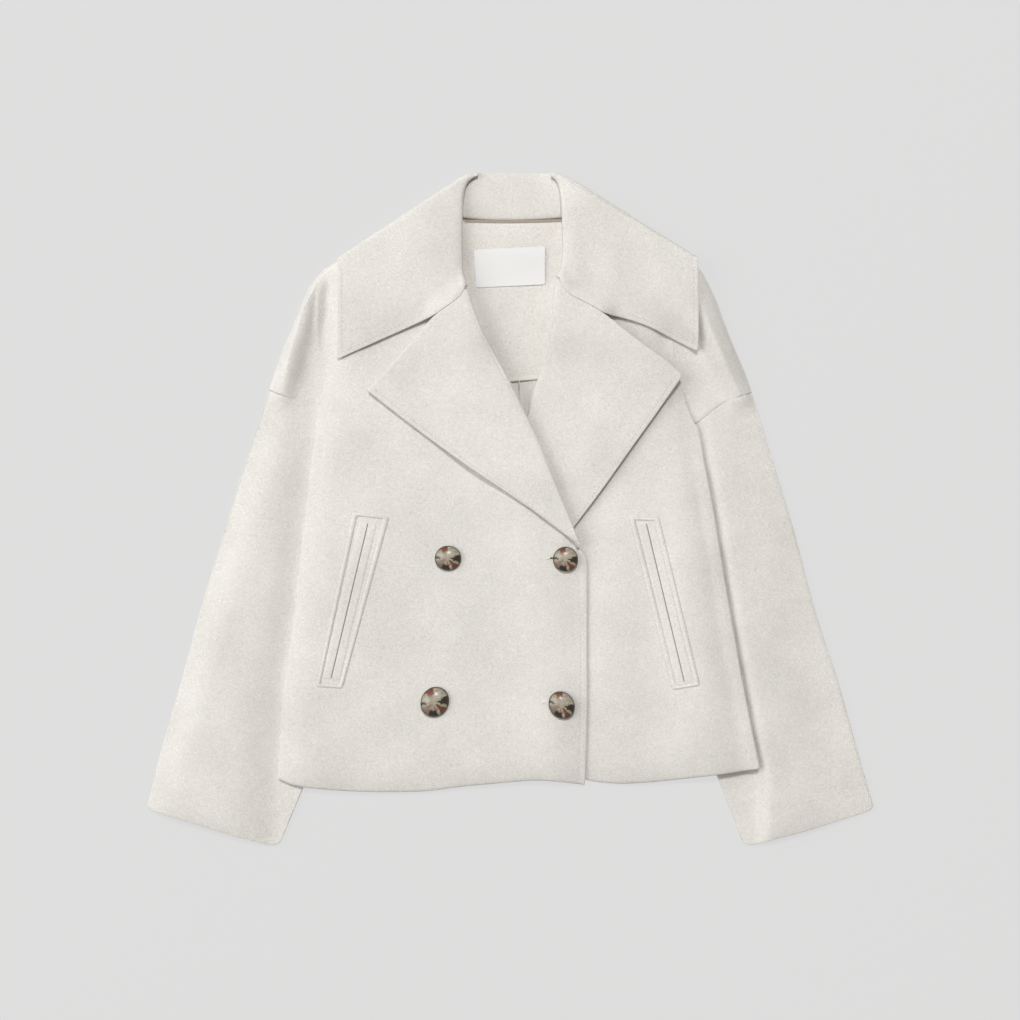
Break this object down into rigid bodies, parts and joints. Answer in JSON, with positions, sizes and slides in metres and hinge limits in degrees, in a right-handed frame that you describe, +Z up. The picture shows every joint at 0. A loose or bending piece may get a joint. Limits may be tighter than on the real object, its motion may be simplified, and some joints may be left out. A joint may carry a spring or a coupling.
{
  "type": "double-breasted winter coat",
  "caption": "Cropped double-breasted winter coat of pale felted wool with a wide turned collar, peaked lapels, welt pockets and horn buttons, lying flat on its back.",
  "frame": {"origin": "centre of the box's underside, on the surface that the coat lies on", "axes": "+X to the wearer's left across the sleeves, +Y to the collar, +Z up from the surface"},
  "size_m": [0.77, 0.7148, 0.027],
  "materials": {
    "wool": "felted wool, ivory",
    "wool_inside": "felted wool, inner side",
    "tape": "woven binding tape",
    "label": "plain woven label, blank",
    "horn": "polished horn with cream streaks"
  },
  "bodies": {
    "root": {"back_right": "wool", "back_left": "wool", "back_facing": "wool_inside", "front_right": "wool", "front_left": "wool", "lapel_facing_right": "wool", "lapel_facing_left": "wool", "collar": "wool", "sleeve_right": "wool", "sleeve_left": "wool", "welt_right_front": "wool", "welt_right_back": "wool", "welt_left_front": "wool", "welt_left_back": "wool", "neck_tape": "tape", "facing_tape": "tape", "centre_seam_tape": "tape", "neck_label": "label", "button_upper_right": "horn", "button_upper_left": "horn", "button_lower_right": "horn", "button_lower_left": "horn"}
  },
  "joints": []
}
